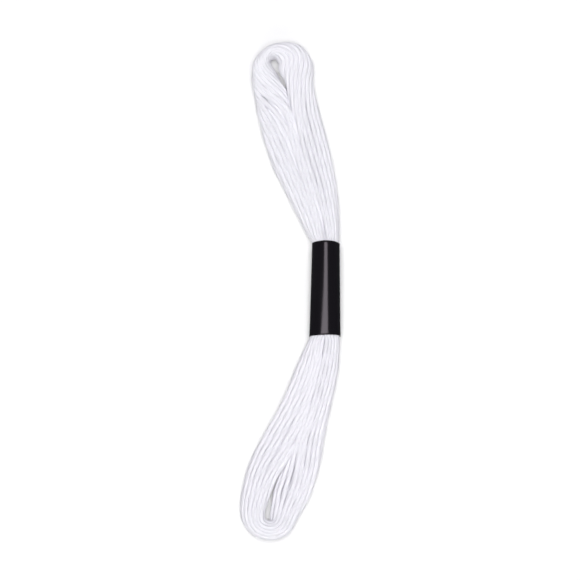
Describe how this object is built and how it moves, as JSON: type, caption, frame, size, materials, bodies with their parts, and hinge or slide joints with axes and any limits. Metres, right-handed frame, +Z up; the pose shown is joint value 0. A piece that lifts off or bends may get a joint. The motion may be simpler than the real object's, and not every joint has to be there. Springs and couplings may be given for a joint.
{
  "type": "skein of embroidery floss",
  "caption": "Skein of stranded embroidery floss: a soft wound hank with a narrow eye in each end loop, held at its waist by a plain paper band.",
  "frame": {"origin": "on the surface it lies on, under the middle of its box", "axes": "+Y along the skein, from the wider end of its band to the narrower; +Z up from the surface it lies on"},
  "size_m": [0.0302, 0.1518, 0.0089],
  "materials": {
    "floss": "soft cotton with a light sheen",
    "band_paper": "satin black"
  },
  "bodies": {
    "root": {"hank": "floss", "band": "band_paper"}
  },
  "joints": []
}
